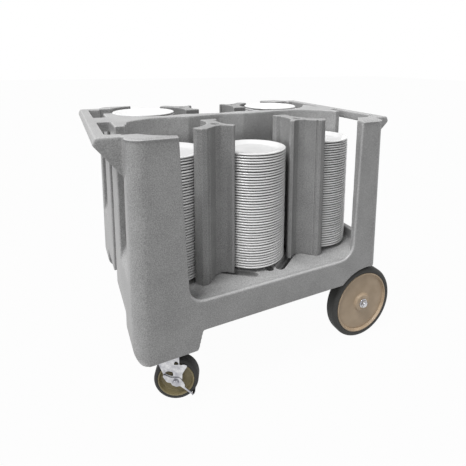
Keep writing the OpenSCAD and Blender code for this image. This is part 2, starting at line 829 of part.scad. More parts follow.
near = -1;
far = 1;
module near_caster_fork() { color(bright_zinc) caster_fork(near); }
module far_caster_fork() { color(bright_zinc) caster_fork(far); }
module near_caster_axle() { color(bright_zinc) caster_axle(near); }
module far_caster_axle() { color(bright_zinc) caster_axle(far); }
module near_caster_tyre() { color(rubber) caster_at(near) turned(trail, 0, caster_r, caster_tyre_ring); }
module far_caster_tyre() { color(rubber) caster_at(far) turned(trail, 0, caster_r, caster_tyre_ring); }
module near_caster_core() { color(olive_plastic) caster_at(near) turned(trail, 0, caster_r, caster_core_ring); }
module far_caster_core() { color(olive_plastic) caster_at(far) turned(trail, 0, caster_r, caster_core_ring); }
module near_caster_bearing() {
    color(bright_zinc) caster_at(near) turned(trail, 0, caster_r, caster_bearing_ring);
}
module far_caster_bearing() {
    color(bright_zinc) caster_at(far) turned(trail, 0, caster_r, caster_bearing_ring);
}
module near_brake_pedal() { color(bright_zinc) brake_pedal(near); }
module far_brake_pedal() { color(bright_zinc) brake_pedal(far); }

// Towers: three lobes between hollows that follow the neighbouring stacks
west_c = tower_w * west_bay_share;
west_r = tower_w * west_bay_r_share;
east_c = tower_w * east_bay_share;
east_r = tower_w * east_bay_r_share;
back_lobe = tower_w * back_lobe_shares;
inner_lobe = tower_w * inner_lobe_shares;
front_hollow = tower_w * front_hollow_shares;
outer_lobe = tower_w * outer_lobe_shares;
groove = tower_w * groove_shares;
tower_outline = concat(
    outer_lobe,
    arc(west_c, west_r, turn_of(west_c, outer_lobe[len(outer_lobe) - 1]), turn_of(west_c, back_lobe[0])),
    back_lobe,
    groove,
    arc(east_c, east_r, turn_of(east_c, groove[2]), turn_of(east_c, inner_lobe[0]) + full_turn),
    inner_lobe,
    front_hollow);
tower_low = deck_h + gap;
rod_top = tower_h - rod_well_d + rod_head_h;
rod_bottom = deck_under - gap - washer_t - rod_below;

module one_tower() {
    difference() {
        upright(tower_outline, tower_low, tower_h);
        translate([0, 0, tower_low - over]) cylinder(h = tower_h, r = rod_r);
        translate([0, 0, tower_h - rod_well_d])
            cylinder(h = rod_well_d + over, r = rod_head_r + rod_well_gap);
    }
}

module one_fixings() {
    translate([0, 0, rod_bottom]) cylinder(h = rod_top - rod_bottom, r = rod_r);
    translate([0, 0, rod_top - rod_head_h]) cylinder(h = rod_head_h, r = rod_head_r, $fn = 6);
    difference() {
        translate([0, 0, deck_under - gap - washer_t]) cylinder(h = washer_t, r = washer_r);
        translate([0, 0, deck_under - gap - washer_t - over])
            cylinder(h = washer_t + 2 * over, r = rod_r + run_fit);
    }
}

// Lobed outline of a clamp knob
knob_outline = [for (i = [0 : knob_steps - 1]) let (a = full_turn * i / knob_steps)
    (knob_r - knob_hollow * (1 - cos(knob_lobes * a)) / 2) * [cos(a), sin(a)]];

module one_knob() {
    translate([0, 0, deck_under - 2 * gap - washer_t - knob_t]) difference() {
        upright(knob_outline, 0, knob_t);
        translate([0, 0, -over]) cylinder(h = knob_t + 2 * over, r = rod_r + run_fit);
    }
}

// Places of the four towers: the right pair mirrored along the cart, the far pair across it
module tower_at(right, back) {
    slide = back * far_slide * slot_dir;
    mirror([0, back, 0]) translate([right * 2 * tower_mid_x, 0, 0]) mirror([right, 0, 0])
        translate([tower_rod[0] + slide[0], tower_rod[1] + slide[1], 0]) children();
}

module near_left_tower() { color(tower_grey) tower_at(0, 0) one_tower(); }
module near_right_tower() { color(tower_grey) tower_at(1, 0) one_tower(); }
module far_left_tower() { color(tower_grey) tower_at(0, 1) one_tower(); }
module far_right_tower() { color(tower_grey) tower_at(1, 1) one_tower(); }
module near_left_tower_fixings() { color(bright_zinc) tower_at(0, 0) one_fixings(); }
module near_right_tower_fixings() { color(bright_zinc) tower_at(1, 0) one_fixings(); }
module far_left_tower_fixings() { color(bright_zinc) tower_at(0, 1) one_fixings(); }
module far_right_tower_fixings() { color(bright_zinc) tower_at(1, 1) one_fixings(); }
module near_left_tower_knob() { color(black_knob) tower_at(0, 0) one_knob(); }
module near_right_tower_knob() { color(black_knob) tower_at(1, 0) one_knob(); }
module far_left_tower_knob() { color(black_knob) tower_at(0, 1) one_knob(); }
module far_right_tower_knob() { color(black_knob) tower_at(1, 1) one_knob(); }

// Plate: a foot ring, a flat well and a rising rim, nested in the one below
plate_profile = [
    [plate_r * foot_in_share, 0], [plate_r * foot_out_share, 0],
    [plate_r * foot_out_share + foot_t, foot_t + gap],
    [plate_r * rim_share, plate_h - plate_rim_t], [plate_r, plate_h - plate_rim_t / 2],
    [plate_r * rim_share, plate_h],
    [plate_r * well_share + plate_slope_t, foot_t + plate_base_t + plate_slope_t / 3],
    [plate_r * well_share, foot_t + plate_base_t], [0, foot_t + plate_base_t],
    [0, foot_t], [plate_r * foot_in_share, foot_t]];

module stack(place, count) {
    color(plate_white) for (i = [0 : count - 1])
        translate([place[0], place[1], deck_h + gap + i * plate_step])
            rotate_extrude() polygon(plate_profile);
}

module near_left_plates() { stack(near_place(near_left_in), near_left_count); }
module near_middle_plates() { stack(near_place(near_middle_in), near_middle_count); }
module near_right_plates() { stack(near_place(near_right_in), near_right_count); }
module far_left_plates() { stack(far_place(far_left_in), far_count); }
module far_right_plates() { stack(far_place(far_right_in), far_count); }

deck();
near_side_skirt();
far_side_skirt();
caster_end_wall();
wheel_end_wall();
near_left_post();
far_left_post();
near_right_post();
far_right_post();
centre_spine();
caster_end_handle();
wheel_end_handle();
near_caster_foot();
far_caster_foot();
rear_axle();
axle_brackets();
bracket_bolts();
axle_spacers();
axle_nuts();
near_wheel_tyre();
near_wheel_core();
near_wheel_bush();
far_wheel_tyre();
far_wheel_core();
far_wheel_bush();
caster_plates();
caster_races();
caster_kingpins();
caster_plate_bolts();
near_caster_fork();
near_caster_axle();
near_caster_tyre();
near_caster_core();
near_caster_bearing();
near_brake_pedal();
far_caster_fork();
far_caster_axle();
far_caster_tyre();
far_caster_core();
far_caster_bearing();
far_brake_pedal();
near_left_tower();
near_left_tower_fixings();
near_left_tower_knob();
near_right_tower();
near_right_tower_fixings();
near_right_tower_knob();
far_left_tower();
far_left_tower_fixings();
far_left_tower_knob();
far_right_tower();
far_right_tower_fixings();
far_right_tower_knob();
near_left_plates();
near_middle_plates();
near_right_plates();
far_left_plates();
far_right_plates();
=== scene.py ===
"""Looks of the plate dispenser cart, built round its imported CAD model.

Metres. X runs along the cart from the caster end to the big wheels, the near side is at
negative Y, and Z is up from the floor. Sizes that the CAD gives are read from its nodes.
"""

import json
import math

import bmesh
import bpy
from mathutils import Matrix, Vector


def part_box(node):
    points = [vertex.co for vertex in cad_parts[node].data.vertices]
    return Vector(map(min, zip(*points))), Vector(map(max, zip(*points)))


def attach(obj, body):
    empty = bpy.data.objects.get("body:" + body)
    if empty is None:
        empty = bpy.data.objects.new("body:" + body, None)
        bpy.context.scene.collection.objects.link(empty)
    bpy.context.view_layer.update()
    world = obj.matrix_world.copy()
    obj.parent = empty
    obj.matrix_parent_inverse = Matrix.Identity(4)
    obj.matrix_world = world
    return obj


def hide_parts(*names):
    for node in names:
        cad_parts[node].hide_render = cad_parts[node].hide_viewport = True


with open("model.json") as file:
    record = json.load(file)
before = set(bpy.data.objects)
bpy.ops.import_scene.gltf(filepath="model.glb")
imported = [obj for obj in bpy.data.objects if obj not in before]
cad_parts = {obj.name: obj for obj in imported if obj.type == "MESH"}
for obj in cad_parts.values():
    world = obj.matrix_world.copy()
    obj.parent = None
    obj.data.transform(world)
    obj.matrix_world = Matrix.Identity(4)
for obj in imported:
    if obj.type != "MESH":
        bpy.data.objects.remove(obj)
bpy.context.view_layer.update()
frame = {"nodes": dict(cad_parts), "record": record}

MM = 0.001
SIDES = {"near": -1, "far": 1}
UP = Vector((0, 0, 1))
ORIGIN = Vector((0, 0, 0))

# Camera: place, turn and lens solved from the photograph's own lines and wheel outlines
EYE = Vector((-552.36, -1297.23, 966.11)) * MM
EYE_TURN = 0.479
EYE_DOWN = 0.1514
EYE_ROLL = 0.0105
FRAME_PX = 466
FOCAL_PX = 388.05
CENTRE_PX = (258.7, 120.65)
SENSOR = 36.0

# Lamps: one broad lamp up on the caster end, over a pale surround
SKY = 0.38
LAMP_POWER = 3.04
LAMP_SPREAD = math.radians(26)
LAMP_FROM = Vector((-0.41, -0.12, 0.90))
# Share of plain white that the camera sees in the floor; the rest is lit and shadowed
FLOOR_GLOW = 0.97

# Moulded pieces: size of the remesh grid, and rounds of smoothing that ease the edges
BODY_GRID = 3.0 * MM
BODY_ROUNDS = 4
TOWER_GRID = 1.8 * MM
TOWER_ROUNDS = 3
# Towers: how far up their tops are drawn, so that they end flush with the walls, and the
# groove that parts the outer lobe from the hollow face, measured in from the outer corner
TOWER_LIFT = 8 * MM
GROOVE_IN = (41 * MM, 9 * MM)
GROOVE_R = 4.5 * MM
GROOVE_DEPTH = 3.5 * MM
EASE = 0.5
CREASE = 35
NUT_STEPS = 48
# Moulded body: corner radius in plan, the larger rounding of its top rim, where the rim
# eases off into the handles' cheeks, and the bead round the side openings
CORNER_R = 42 * MM
RIM_R = 13 * MM
FOOT_RIM_R = 26 * MM
RIM_FROM = 306 * MM
RIM_TO = 322 * MM
BEAD_R = 5.5 * MM
BEAD_IN = 2.5 * MM
BEAD_PROUD = 0.6 * MM
BEAD_STEPS = 8
# Side openings: lower edge, and per end the X of the upper end, of the lower end and the radius
OPENING_LOW = 312 * MM
OPENING_LEFT = (-291 * MM, -271 * MM, 48 * MM)
OPENING_RIGHT = (314 * MM, 301 * MM, 55 * MM)

# Plates
PLATE_STEP = 8.5 * MM
PLATE_H = 18 * MM
PLATE_TURNS = 120
PLATE_CREASE = 60
# How far a plate sits off the stack's middle, how much smaller it is drawn to stay inside the
# CAD's stack, and how far its rim sags in the kiln, at most twice this
PLATE_DRIFT = 0.5 * MM
PLATE_IN = 0.6 * MM
PLATE_SAG = 0.45 * MM

# Rear wheels and the ends of their axle
WHEEL_RIM = 19 * MM
WHEEL_TURNS = 128
BORE_R = 12.2 * MM
WASHER_AT = 353.4 * MM
WASHER_R = 16 * MM
WASHER_T = 2.4 * MM
AXLE_NUT = (13 * MM, 8 * MM, 8.1 * MM, 3 * MM)
AXLE_BORE_R = 8.2 * MM

# Casters, about their swivels
CASTER_TURN = math.radians(-24)
TRAIL = 33 * MM
CASTER_HALF_W = 18 * MM
CASTER_CORE_R = 52 * MM
CASTER_TURNS = 96
LEG_IN = 19 * MM
LEG_T = 3.5 * MM
CROWN_Z = 143 * MM
CROWN_T = 4 * MM
KINGPIN_R = 8.2 * MM
BOLT_R = 5 * MM
BOLT_NUT = (9 * MM, 5 * MM, 3.6 * MM, 1 * MM)
ARM_GAP = 0.4 * MM
ARM_T = 3 * MM
# Outlines in millimetres, along the trail from the swivel and up from the floor: a fork leg
# with its two openings; and, from the wheel's axle, the brake's side plate
LEG_OUTLINE = [
    (-24, 143), (44, 143), (44, 113), (57, 115), (67, 110), (52, 86), (51, 62), (46, 50), (34, 45),
    (22, 50), (15, 66), (-1, 84), (-15, 119)]
LEG_WINDOW = [(2, 90), (10, 96), (25, 92), (26, 79), (14, 83)]
LEG_HOLE = [(31, 125), (38, 125), (43, 115), (28, 115)]
BRAKE_OUTLINE = [
    (-36, 18), (-35, 23), (-30, 23), (-13, 14), (10, 12), (20, 2), (26, -10), (25, -17), (48, -40),
    (46, -43), (12, -13), (0, -16), (-12, -3), (-25, 0)]
PAD_REACH = 65 * MM
PAD_DOWN = math.radians(40)
PAD_HALF = 6
PAD_T = 2.4 * MM


# ---- Small helpers -------------------------------------------------------------------

def linear(hex_colour):
    """An sRGB hex colour as linear RGBA."""
    parts = [int(hex_colour[i:i + 2], 16) / 255 for i in (1, 3, 5)]
    return tuple(c / 12.92 if c <= 0.04045 else ((c + 0.055) / 1.055) ** 2.4 for c in parts) + (1.0,)


def add(tree, kind, settings=None, **inputs):
    """A node with its settings and inputs. An input is a value or a socket to link from, and
    goes by its name, or by its number as i0, i1 and so on."""
    node = tree.nodes.new(kind)
    for key, value in (settings or {}).items():
        setattr(node, key, value)
    for key, value in inputs.items():
        by_number = key[0] == "i" and key[1:].isdigit()
        socket = node.inputs[int(key[1:]) if by_number else key.replace("_", " ")]
        if isinstance(value, bpy.types.NodeSocket):
            tree.links.new(value, socket)
        else:
            socket.default_value = value
    return node


def new_material(name):
    """An empty node material, its tree and its principled shader."""
    material = bpy.data.materials.new(name)
    material.use_nodes = True
    tree = material.node_tree
    tree.nodes.clear()
    shader = add(tree, "ShaderNodeBsdfPrincipled")
    add(tree, "ShaderNodeOutputMaterial", Surface=shader.outputs["BSDF"])
    return material, tree, shader


def ramp(tree, factor, stops):
    """A colour ramp over a factor, with stops of place and colour."""
    node = add(tree, "ShaderNodeValToRGB", Fac=factor)
    while len(node.color_ramp.elements) < len(stops):
        node.color_ramp.elements.new(0.5)
    for element, (place, colour) in zip(node.color_ramp.elements, stops):
        element.position = place
        element.color = linear(colour)
    return node.outputs["Color"]


def noise(tree, size_mm, detail, roughness=0.5):
    """Noise whose clouds are about a real size in millimetres across, and a factor socket."""
    place = add(tree, "ShaderNodeTexCoord").outputs["Object"]
    return add(tree, "ShaderNodeTexNoise", Vector=place, Scale=1 / (size_mm * MM), Detail=detail,
               Roughness=roughness).outputs["Fac"]


def bumped(tree, shader, height, strength, depth_mm):
    """Shallow relief on a shader, from a height socket and a depth in millimetres."""
    bump = add(tree, "ShaderNodeBump", Height=height, Strength=strength, Distance=depth_mm * MM)
    tree.links.new(bump.outputs["Normal"], shader.inputs["Normal"])


def surface(shader, roughness, ior=None, metallic=None):
    """Sets what is the same all over a surface. A roughness may be a socket to link from."""
    if isinstance(roughness, bpy.types.NodeSocket):
        shader.id_data.links.new(roughness, shader.inputs["Roughness"])
    else:
        shader.inputs["Roughness"].default_value = roughness
    if ior:
        shader.inputs["IOR"].default_value = ior
    if metallic:
        shader.inputs["Metallic"].default_value = metallic


# ---- Materials -----------------------------------------------------------------------

def rotomoulded_polyethylene(name, low, middle, high, edge_highlight):
    """Powder-moulded polyethylene: a dull skin with a fine salt-and-pepper mottle and a soft
    sheen at low angles. The grains are about 0.5 mm, drawn 2.6 mm wide so that they show. The
    rounded edges are painted paler: a painted highlight for the light they catch."""
    material, tree, shader = new_material(name)
    grain = noise(tree, 2.6, 2.0, 0.6)
    mottle = add(tree, "ShaderNodeMath", {"operation": "MULTIPLY_ADD"}, i0=noise(tree, 90, 2.0),
                 i1=0.25, i2=grain)
    colour = ramp(tree, mottle.outputs[0], [(0.50, low), (0.62, middle), (0.76, high)])
    # Painted highlight: convex edges, found by their pointiness, are mixed towards a paler colour
    bend = add(tree, "ShaderNodeNewGeometry").outputs["Pointiness"]
    edge_highlight_share = add(tree, "ShaderNodeMapRange", Value=bend, i1=0.51, i2=0.58, i3=0.0, i4=0.55)
    skin_colour = add(tree, "ShaderNodeMix", {"data_type": "RGBA"}, i0=edge_highlight_share.outputs[0],
                      i6=colour, i7=linear(edge_highlight))
    tree.links.new(skin_colour.outputs[2], shader.inputs["Base Color"])
    surface(shader, 0.42, ior=1.54)
    bumped(tree, shader, noise(tree, 2.2, 2.0), 0.12, 0.4)
    return material


def glazed_china():
    """Vitrified china under a clear glaze: near white, with sharp soft-edged reflections and
    the slight waviness of a dipped glaze, about 12 mm from crest to crest."""
    material, tree, shader = new_material("glazed_china")
    body = ramp(tree, noise(tree, 60, 2.0), [(0.3, "#e8e8e8"), (0.7, "#f3f3f3")])
    tree.links.new(body, shader.inputs["Base Color"])
    surface(shader, 0.16, ior=1.52)
    bumped(tree, shader, noise(tree, 12, 1.0), 0.08, 0.3)
    return material


def vulcanised_rubber():
    """Moulded tyre rubber: charcoal, dull, with a dusting of lighter scuffs about 4 mm across."""
    material, tree, shader = new_material("vulcanised_rubber")
    scuff = noise(tree, 4, 4.0)
    tree.links.new(ramp(tree, scuff, [(0.35, "#333332"), (0.75, "#434341")]), shader.inputs["Base Color"])
    surface(shader, add(tree, "ShaderNodeMapRange", Value=scuff, i3=0.55, i4=0.8).outputs[0], ior=1.52)
    bumped(tree, shader, scuff, 0.15, 0.3)
    return material


def moulded_core(name, low, high):
    """Injection-moulded wheel core: a satin skin with faint cloudy flow marks 40 mm across."""
    material, tree, shader = new_material(name)
    tree.links.new(ramp(tree, noise(tree, 40, 3.0), [(0.3, low), (0.7, high)]), shader.inputs["Base Color"])
    surface(shader, 0.42, ior=1.49)
    bumped(tree, shader, noise(tree, 1.5, 2.0), 0.05, 0.2)
    return material


def bright_zinc_plate():
    """Pressed steel under bright zinc: mirror-like with a soft blur and faint rolling waves."""
    material, tree, shader = new_material("bright_zinc_plate")
    wave = noise(tree, 14, 2.0)
    tree.links.new(ramp(tree, wave, [(0.3, "#a9a9b0"), (0.7, "#dededf")]), shader.inputs["Base Color"])
    surface(shader, add(tree, "ShaderNodeMapRange", Value=wave, i3=0.12, i4=0.30).outputs[0], metallic=1.0)
    bumped(tree, shader, wave, 0.12, 0.5)
    return material


def turned_steel():
    """Cold-drawn steel bar, turned at its ends: bright grey with fine rings, drawn 1 mm apart."""
    material, tree, shader = new_material("turned_steel")
    place = add(tree, "ShaderNodeTexCoord").outputs["Object"]
    rings = add(tree, "ShaderNodeTexWave", {"wave_type": "RINGS", "rings_direction": "Y"}, Vector=place,
                Scale=1 / (20 * MM), Distortion=0.3).outputs["Fac"]
    tree.links.new(ramp(tree, rings, [(0.2, "#a8a8aa"), (0.8, "#bcbcbe")]), shader.inputs["Base Color"])
    surface(shader, 0.34, metallic=1.0)
    return material


def turned_nylon():
    """Turned nylon bearing: milky white and waxy, with faint clouds 6 mm across."""
    material, tree, shader = new_material("turned_nylon")
    milk = ramp(tree, noise(tree, 6, 2.0), [(0.3, "#d8d6cc"), (0.7, "#e6e4dc")])
    tree.links.new(milk, shader.inputs["Base Color"])
    surface(shader, 0.4, ior=1.53)
    return material


def moulded_phenolic():
    """Compression-moulded phenolic knob: black with a dull gloss and fine flow grain."""
    material, tree, shader = new_material("moulded_phenolic")
    flow = ramp(tree, noise(tree, 3, 3.0), [(0.3, "#1f1f1f"), (0.8, "#2b2b2b")])
    tree.links.new(flow, shader.inputs["Base Color"])
    surface(shader, 0.35, ior=1.6)
    return material


FINISH = {
    # The last colour of each moulding is the painted highlight of its rounded edges
    "grey_moulding": rotomoulded_polyethylene(
        "body_polyethylene", "#8d8d8d", "#a0a0a0", "#b4b4b4", "#e2e2e2"),
    # The towers take a darker copy of the body's polyethylene: painted shade, as they stand in shadow
    "grey_tower": rotomoulded_polyethylene(
        "tower_polyethylene_painted_shade", "#7b7b7b", "#8c8c8c", "#9e9e9e", "#cfcfcf"),
    "white_china": glazed_china(),
    "dark_tyre": vulcanised_rubber(),
    "tan_wheel": moulded_core("tan_polyolefin", "#b29d83", "#c3ae94"),
    "olive_wheel": moulded_core("olive_polyolefin", "#8d8260", "#a69a76"),
    "white_nylon": turned_nylon(),
    "black_knob": moulded_phenolic(),
    "steel_axle": turned_steel(),
    "bright_zinc": bright_zinc_plate(),
}
SLOT_OF = {part["node"]: part["material_slot"] for part in frame["record"]["subparts"]}


def dress_cad_nodes():
    """Gives every CAD node the material of its slot in the record."""
    for name, node in frame["nodes"].items():
        node.data.materials.clear()
        node.data.materials.append(FINISH[SLOT_OF[name]])


# ---- Mesh helpers --------------------------------------------------------------------

def piece(name, mesh, body, slot, *nodes):
    """An object from a mesh, riding on a body, finished from a slot, standing for nodes."""
    shown = bpy.data.objects.new(name, mesh)
    bpy.context.scene.collection.objects.link(shown)
    mesh.materials.clear()
    mesh.materials.append(FINISH[slot])
    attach(shown, body)
    if nodes:
        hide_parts(*nodes)
    return shown


def centre_of(node):
    low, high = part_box(node)
    return (low + high) / 2


def joined(*nodes):
    """One mesh with copies of several CAD nodes' meshes."""
    form = bmesh.new()
    for name in nodes:
        form.from_mesh(frame["nodes"][name].data)
    bmesh.ops.remove_doubles(form, verts=form.verts, dist=0.01 * MM)
    mesh = bpy.data.meshes.new("joined")
    form.to_mesh(mesh)
    form.free()
    return mesh


def eased(mesh, grid, rounds):
    """A moulded skin over a mesh: one closed surface with softly rounded edges and corners."""
    holder = bpy.data.objects.new("holder", mesh)
    bpy.context.scene.collection.objects.link(holder)
    skin = holder.modifiers.new("skin", "REMESH")
    skin.mode = "VOXEL"
    skin.voxel_size = grid
    skin.use_smooth_shade = True
    soft = holder.modifiers.new("soft", "SMOOTH")
    soft.factor = EASE
    soft.iterations = rounds
    graph = bpy.context.evaluated_depsgraph_get()
    result = bpy.data.meshes.new_from_object(holder.evaluated_get(graph))
    bpy.data.objects.remove(holder)
    bpy.data.meshes.remove(mesh)
    result.shade_smooth()
    return result


def mesh_of(source):
    """The final mesh of a curve or of a mesh with modifiers. The source is removed."""
    holder = bpy.data.objects.new("holder", source)
    bpy.context.scene.collection.objects.link(holder)
    graph = bpy.context.evaluated_depsgraph_get()
    result = bpy.data.meshes.new_from_object(holder.evaluated_get(graph))
    bpy.data.objects.remove(holder)
    return result


def pressed_sheet(outlines, thickness, edge, to_cart):
    """A pressed sheet with rounded edges from an outline and its openings, in millimetres."""
    curve = bpy.data.curves.new("sheet", "CURVE")
    curve.dimensions = "2D"
    curve.fill_mode = "BOTH"
    curve.extrude = thickness / 2 - edge
    curve.bevel_depth = edge
    curve.bevel_resolution = 1
    curve.offset = -edge
    for outline in outlines:
        points = rounded([Vector(p) * MM for p in outline], 4 * MM, 3, True)
        spline = curve.splines.new("POLY")
        spline.points.add(len(points) - 1)
        for point, place in zip(spline.points, points):
            point.co = (place[0], place[1], 0, 1)
        spline.use_cyclic_u = True
    mesh = mesh_of(curve)
    mesh.transform(to_cart)
    return mesh


def merged(name, meshes, crease=CREASE):
    """One mesh from several, with edges kept sharp above an angle in degrees."""
    form = bmesh.new()
    for mesh in meshes:
        form.from_mesh(mesh)
        bpy.data.meshes.remove(mesh)
    return finished(name, form, crease)


def hex_nut(radius, height, shaft, proud):
    """A chamfered hex nut on +Z with the end of its shaft standing proud, as a mesh."""
    form = bmesh.new()
    flat = radius * math.cos(math.pi / 6)
    cut = height * 0.14
    tip = shaft * 0.15
    profile = [(0, flat * 0.98), (cut, radius), (height - cut, radius), (height, flat * 0.96),
               (height, shaft), (height + proud - tip, shaft), (height + proud, shaft - tip)]
    rings = []
    for level, limit in profile:
        ring = []
        for k in range(NUT_STEPS):
            angle = 2 * math.pi * k / NUT_STEPS
            side = flat / math.cos(angle % (math.pi / 3) - math.pi / 6)
            reach = min(limit, side) if limit > shaft else limit
            ring.append(form.verts.new((reach * math.cos(angle), reach * math.sin(angle), level)))
        rings.append(ring)
    join_rings(form, rings)
    form.faces.new(rings[-1])
    form.faces.new(list(reversed(rings[0])))
    return finished("nut", form)


def join_rings(form, rings):
    """Faces between each ring of points and the next, where a ring may be a single point."""
    for a, b in zip(rings, rings[1:]):
        steps = max(len(a), len(b))
        for k in range(steps if steps > 1 else 0):
            n = (k + 1) % steps
            if len(a) == 1:
                form.faces.new((a[0], b[n], b[k]))
            elif len(b) == 1:
                form.faces.new((a[k], a[n], b[0]))
            else:
                form.faces.new((a[k], a[n], b[n], b[k]))


def rounded(points, radius, steps=3, closed=False):
    """An outline with each corner turned into a small arc of about that radius."""
    count = len(points)
    result = []
    for i, corner in enumerate(points):
        if not closed and i in (0, count - 1):
            result.append(tuple(corner))
            continue
        here = Vector(corner)
        back = Vector(points[i - 1]) - here
        ahead = Vector(points[(i + 1) % count]) - here
        cut = min(radius, back.length * 0.45, ahead.length * 0.45)
        start = here + back.normalized() * cut
        end = here + ahead.normalized() * cut
        for k in range(steps + 1):
            t = k / steps
            result.append(tuple(start * (1 - t) ** 2 + here * 2 * t * (1 - t) + end * t * t))
    return result


def in_mm(points):
    """Points given in millimetres, as metres."""
    return [(x * MM, y * MM) for x, y in points]


def turned(profile, axis, centre, turns, form=None):
    """A form turned about an axis through a centre, from points of radius and distance along
    it. It is added to a form that is given."""
    if form is None:
        form = bmesh.new()
    spin = axis.to_track_quat("Z", "Y").to_matrix()
    rings = []
    for radius, along in profile:
        if radius < 1e-6:
            rings.append([form.verts.new(centre + spin @ Vector((0, 0, along)))])
            continue
        ring = []
        for k in range(turns):
            angle = 2 * math.pi * k / turns
            ring.append(form.verts.new(
                centre + spin @ Vector((radius * math.cos(angle), radius * math.sin(angle), along))))
        rings.append(ring)
    join_rings(form, rings)
    return form


def finished(name, form, crease=CREASE):
    """The mesh of a form, with outward faces and edges kept sharp above an angle in degrees."""
    bmesh.ops.recalc_face_normals(form, faces=form.faces)
    mesh = bpy.data.meshes.new(name)
    form.to_mesh(mesh)
    form.free()
    mesh.shade_smooth()
    mesh.set_sharp_from_angle(angle=math.radians(crease))
    return mesh


# ---- Moulded body and towers ---------------------------------------------------------

def opening_bead(way, half_w, top):
    """The rounded bead along the edge of a side opening, down one post and up the other."""
    left_top, left_low, left_r = OPENING_LEFT
    right_top, right_low, right_r = OPENING_RIGHT
    low = OPENING_LOW - BEAD_IN
    route = [(left_top - BEAD_IN, top - RIM_R), (left_low - BEAD_IN, low + left_r)]
    for middle_x, radius, start, first in ((left_low + left_r, left_r, 2, 1),
                                           (right_low - right_r, right_r, 3, 0)):
        for k in range(first, BEAD_STEPS + 1):
            angle = math.pi / 2 * (start + k / BEAD_STEPS)
            route.append((middle_x + (radius + BEAD_IN) * math.cos(angle),
                          OPENING_LOW + radius + (radius + BEAD_IN) * math.sin(angle)))
    route.append((right_top + BEAD_IN, top - RIM_R))
    curve = bpy.data.curves.new("bead", "CURVE")
    curve.dimensions = "3D"
    curve.bevel_depth = BEAD_R
    curve.use_fill_caps = True
    spline = curve.splines.new("POLY")
    spline.points.add(len(route) - 1)
    for point, (x, z) in zip(spline.points, route):
        point.co = (x, way * (half_w - BEAD_R + BEAD_PROUD), z, 1)
    return mesh_of(curve)


def soften_rims(mesh, low, high, foot_low):
    """Rolls two outer edges of the moulding over to larger radii, seen from above as a rounded
    rectangle: the top edge of the posts, easing off towards the handles, whose cheeks stay
    flush, and the lower edge of the feet round the cart's corners."""
    middle = (low + high) / 2
    half = (high - low) / 2
    for vertex in mesh.vertices:
        x, y, z = vertex.co
        inner_x = max(0, abs(x - middle.x) - half.x + CORNER_R)
        inner_y = max(0, abs(y) - half.y + CORNER_R)
        reach = math.hypot(inner_x, inner_y)
        if high.z - z < RIM_R:
            edge, way = high.z, -1
            radius = RIM_R * min(1, max(0, (abs(y) - RIM_FROM) / (RIM_TO - RIM_FROM)))
        else:
            edge, way = foot_low, 1
            radius = FOOT_RIM_R * min(1, 2 * inner_x * inner_y / CORNER_R ** 2)
        inside = CORNER_R - reach
        deep = (z - edge) * way
        away = math.hypot(inside - radius, deep - radius)
        if min(radius, reach) < 1 * MM or inside > radius or deep > radius or away <= radius:
            continue
        pull = radius / away
        shift = (inside - radius) * (1 - pull) / reach
        vertex.co.x += math.copysign(inner_x * shift, x - middle.x)
        vertex.co.y += math.copysign(inner_y * shift, y)
        vertex.co.z = edge + way * (radius + (deep - radius) * pull)


def moulded_body():
    """The whole moulding as one skin: walls, posts, spine, deck, skirts, handles and feet."""
    nodes = [n for n, s in SLOT_OF.items() if s == "grey_moulding"]
    corner_low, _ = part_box("near_left_post")
    _, corner_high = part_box("far_right_post")
    form = bmesh.new()
    form.from_mesh(joined(*nodes))
    for way in SIDES.values():
        form.from_mesh(opening_bead(way, corner_high.y, corner_high.z))
    mesh = bpy.data.meshes.new("moulding")
    form.to_mesh(mesh)
    form.free()
    skin = eased(mesh, BODY_GRID, BODY_ROUNDS)
    foot_low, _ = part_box("near_caster_foot")
    soften_rims(skin, corner_low, corner_high, foot_low.z)
    piece("moulded_body", skin, "frame", "grey_moulding", *nodes)


def towers():
    """Towers as moulded skins, drawn up flush with the walls, with the groove of the lobe."""
    for end, outwards in (("left", -1), ("right", 1)):
        for side, way in SIDES.items():
            node = f"{side}_{end}_tower"
            low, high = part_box(node)
            skin = eased(joined(node), TOWER_GRID, TOWER_ROUNDS)
            groove = Vector(((high.x if outwards > 0 else low.x) - outwards * GROOVE_IN[0],
                             (high.y if way > 0 else low.y) - way * GROOVE_IN[1]))
            normals = [Vector(vertex.normal) for vertex in skin.vertices]
            for vertex, normal in zip(skin.vertices, normals):
                away = (vertex.co.xy - groove).length / GROOVE_R
                if away < 1 and abs(normal.z) < 0.5:
                    vertex.co -= normal * GROOVE_DEPTH * (1 - away * away)
                vertex.co.z += TOWER_LIFT * (vertex.co.z - low.z) / (high.z - low.z)
            piece(node + "_shell", skin, f"{side}_{end}_divider", "grey_tower", node)


# ---- Plates --------------------------------------------------------------------------

def plate_profile(radius, sag):
    """Half section of a plate, from the middle of its underside round the rim to the middle of
    its top: foot ring, flat well and a rim that rises, sags a little and ends in a rolled edge.
    The well and the rim's slopes are shares of the radius; heights are in millimetres."""
    r = radius / MM
    down = sag / MM
    foot = r * 0.63
    return in_mm([
        (0, 3.2), (foot - 5, 3.2), (foot - 2.5, 0.6), (foot, 0), (foot + 2.5, 0.6), (foot + 5, 3.6),
        (r * 0.80, 7.0), (r * 0.93, 11.2 - down), (r - 2.5, 12.3 - down), (r - 0.7, 13.1 - down),
        (r, 15.0 - down), (r - 0.7, 17.0 - down), (r - 2.6, 18.0 - down), (r - 6, 17.3 - down),
        (r * 0.84, 13.6), (r * 0.74, 10.2), (r * 0.68, 8.6), (r * 0.62, 8.2), (0, 8.2)])


